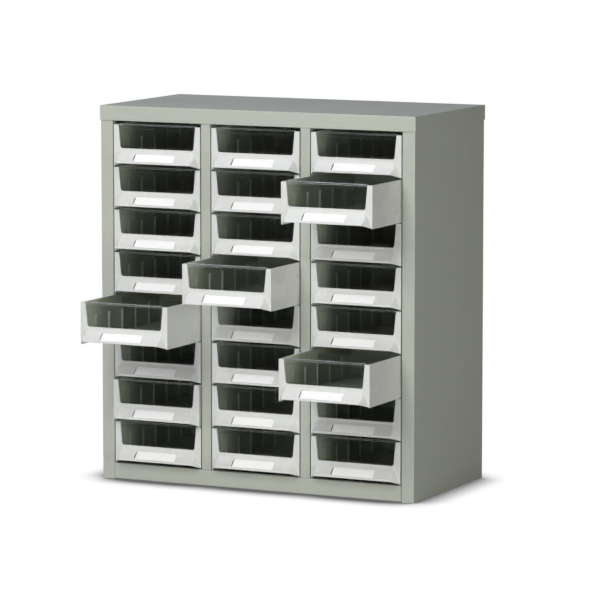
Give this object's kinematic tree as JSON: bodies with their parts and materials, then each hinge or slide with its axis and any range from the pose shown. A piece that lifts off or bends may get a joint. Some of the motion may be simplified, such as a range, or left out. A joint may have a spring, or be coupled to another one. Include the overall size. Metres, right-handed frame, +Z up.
{
  "type": "parts organizer",
  "caption": "Steel cabinet of small plastic drawers in columns, each with a clear window, a label pocket and a pull lip; the drawers slide out forwards.",
  "frame": {"origin": "centre of the cabinet's footprint, on the surface that it stands on", "axes": "+Z up, +X to the right of someone facing the drawers, -Y the way the drawers open"},
  "size_m": [0.586, 0.4267, 0.64],
  "materials": {
    "painted_steel": "semi-gloss powder coat, warm grey",
    "drawer_plastic": "moulded, satin gloss, off-white",
    "clear_plastic": "clear, polished"
  },
  "bodies": {
    "cabinet": {"top_cap": "painted_steel", "left_side_panel": "painted_steel", "right_side_panel": "painted_steel", "back_panel": "painted_steel", "base_pan": "painted_steel", "bottom_rail": "painted_steel", "left_mullion": "painted_steel", "right_mullion": "painted_steel", "left_runner_rack": "painted_steel", "left_partition": "painted_steel", "right_partition": "painted_steel", "right_runner_rack": "painted_steel"},
    "drawer_r1_c1": {"drawer_r1_c1_tub": "drawer_plastic", "drawer_r1_c1_window": "clear_plastic"},
    "drawer_r1_c2": {"drawer_r1_c2_tub": "drawer_plastic", "drawer_r1_c2_window": "clear_plastic"},
    "drawer_r1_c3": {"drawer_r1_c3_tub": "drawer_plastic", "drawer_r1_c3_window": "clear_plastic"},
    "drawer_r2_c1": {"drawer_r2_c1_tub": "drawer_plastic", "drawer_r2_c1_window": "clear_plastic"},
    "drawer_r2_c2": {"drawer_r2_c2_tub": "drawer_plastic", "drawer_r2_c2_window": "clear_plastic"},
    "drawer_r2_c3": {"drawer_r2_c3_tub": "drawer_plastic", "drawer_r2_c3_window": "clear_plastic"},
    "drawer_r3_c1": {"drawer_r3_c1_tub": "drawer_plastic", "drawer_r3_c1_window": "clear_plastic"},
    "drawer_r3_c2": {"drawer_r3_c2_tub": "drawer_plastic", "drawer_r3_c2_window": "clear_plastic"},
    "drawer_r3_c3": {"drawer_r3_c3_tub": "drawer_plastic", "drawer_r3_c3_window": "clear_plastic"},
    "drawer_r4_c1": {"drawer_r4_c1_tub": "drawer_plastic", "drawer_r4_c1_window": "clear_plastic"},
    "drawer_r4_c2": {"drawer_r4_c2_tub": "drawer_plastic", "drawer_r4_c2_window": "clear_plastic"},
    "drawer_r4_c3": {"drawer_r4_c3_tub": "drawer_plastic", "drawer_r4_c3_window": "clear_plastic"},
    "drawer_r5_c1": {"drawer_r5_c1_tub": "drawer_plastic", "drawer_r5_c1_window": "clear_plastic"},
    "drawer_r5_c2": {"drawer_r5_c2_tub": "drawer_plastic", "drawer_r5_c2_window": "clear_plastic"},
    "drawer_r5_c3": {"drawer_r5_c3_tub": "drawer_plastic", "drawer_r5_c3_window": "clear_plastic"},
    "drawer_r6_c1": {"drawer_r6_c1_tub": "drawer_plastic", "drawer_r6_c1_window": "clear_plastic"},
    "drawer_r6_c2": {"drawer_r6_c2_tub": "drawer_plastic", "drawer_r6_c2_window": "clear_plastic"},
    "drawer_r6_c3": {"drawer_r6_c3_tub": "drawer_plastic", "drawer_r6_c3_window": "clear_plastic"},
    "drawer_r7_c1": {"drawer_r7_c1_tub": "drawer_plastic", "drawer_r7_c1_window": "clear_plastic"},
    "drawer_r7_c2": {"drawer_r7_c2_tub": "drawer_plastic", "drawer_r7_c2_window": "clear_plastic"},
    "drawer_r7_c3": {"drawer_r7_c3_tub": "drawer_plastic", "drawer_r7_c3_window": "clear_plastic"},
    "drawer_r8_c1": {"drawer_r8_c1_tub": "drawer_plastic", "drawer_r8_c1_window": "clear_plastic"},
    "drawer_r8_c2": {"drawer_r8_c2_tub": "drawer_plastic", "drawer_r8_c2_window": "clear_plastic"},
    "drawer_r8_c3": {"drawer_r8_c3_tub": "drawer_plastic", "drawer_r8_c3_window": "clear_plastic"}
  },
  "joints": [
    {"name": "slide_r1_c1", "type": "slide", "parent": "cabinet", "child": "drawer_r1_c1", "axis": [0, -1, 0], "range_m": [0, 0.241]},
    {"name": "slide_r1_c2", "type": "slide", "parent": "cabinet", "child": "drawer_r1_c2", "axis": [0, -1, 0], "range_m": [0, 0.241]},
    {"name": "slide_r1_c3", "type": "slide", "parent": "cabinet", "child": "drawer_r1_c3", "axis": [0, -1, 0], "range_m": [0, 0.241]},
    {"name": "slide_r2_c1", "type": "slide", "parent": "cabinet", "child": "drawer_r2_c1", "axis": [0, -1, 0], "range_m": [0, 0.241]},
    {"name": "slide_r2_c2", "type": "slide", "parent": "cabinet", "child": "drawer_r2_c2", "axis": [0, -1, 0], "range_m": [0, 0.241]},
    {"name": "slide_r2_c3", "type": "slide", "parent": "cabinet", "child": "drawer_r2_c3", "axis": [0, -1, 0], "range_m": [-0.113, 0.128]},
    {"name": "slide_r3_c1", "type": "slide", "parent": "cabinet", "child": "drawer_r3_c1", "axis": [0, -1, 0], "range_m": [0, 0.241]},
    {"name": "slide_r3_c2", "type": "slide", "parent": "cabinet", "child": "drawer_r3_c2", "axis": [0, -1, 0], "range_m": [0, 0.241]},
    {"name": "slide_r3_c3", "type": "slide", "parent": "cabinet", "child": "drawer_r3_c3", "axis": [0, -1, 0], "range_m": [0, 0.241]},
    {"name": "slide_r4_c1", "type": "slide", "parent": "cabinet", "child": "drawer_r4_c1", "axis": [0, -1, 0], "range_m": [0, 0.241]},
    {"name": "slide_r4_c2", "type": "slide", "parent": "cabinet", "child": "drawer_r4_c2", "axis": [0, -1, 0], "range_m": [-0.107, 0.134]},
    {"name": "slide_r4_c3", "type": "slide", "parent": "cabinet", "child": "drawer_r4_c3", "axis": [0, -1, 0], "range_m": [0, 0.241]},
    {"name": "slide_r5_c1", "type": "slide", "parent": "cabinet", "child": "drawer_r5_c1", "axis": [0, -1, 0], "range_m": [-0.12, 0.121]},
    {"name": "slide_r5_c2", "type": "slide", "parent": "cabinet", "child": "drawer_r5_c2", "axis": [0, -1, 0], "range_m": [0, 0.241]},
    {"name": "slide_r5_c3", "type": "slide", "parent": "cabinet", "child": "drawer_r5_c3", "axis": [0, -1, 0], "range_m": [0, 0.241]},
    {"name": "slide_r6_c1", "type": "slide", "parent": "cabinet", "child": "drawer_r6_c1", "axis": [0, -1, 0], "range_m": [0, 0.241]},
    {"name": "slide_r6_c2", "type": "slide", "parent": "cabinet", "child": "drawer_r6_c2", "axis": [0, -1, 0], "range_m": [0, 0.241]},
    {"name": "slide_r6_c3", "type": "slide", "parent": "cabinet", "child": "drawer_r6_c3", "axis": [0, -1, 0], "range_m": [-0.122, 0.119]},
    {"name": "slide_r7_c1", "type": "slide", "parent": "cabinet", "child": "drawer_r7_c1", "axis": [0, -1, 0], "range_m": [-0.0065, 0.2345]},
    {"name": "slide_r7_c2", "type": "slide", "parent": "cabinet", "child": "drawer_r7_c2", "axis": [0, -1, 0], "range_m": [0, 0.241]},
    {"name": "slide_r7_c3", "type": "slide", "parent": "cabinet", "child": "drawer_r7_c3", "axis": [0, -1, 0], "range_m": [0, 0.241]},
    {"name": "slide_r8_c1", "type": "slide", "parent": "cabinet", "child": "drawer_r8_c1", "axis": [0, -1, 0], "range_m": [0, 0.241]},
    {"name": "slide_r8_c2", "type": "slide", "parent": "cabinet", "child": "drawer_r8_c2", "axis": [0, -1, 0], "range_m": [0, 0.241]},
    {"name": "slide_r8_c3", "type": "slide", "parent": "cabinet", "child": "drawer_r8_c3", "axis": [0, -1, 0], "range_m": [0, 0.241]}
  ]
}
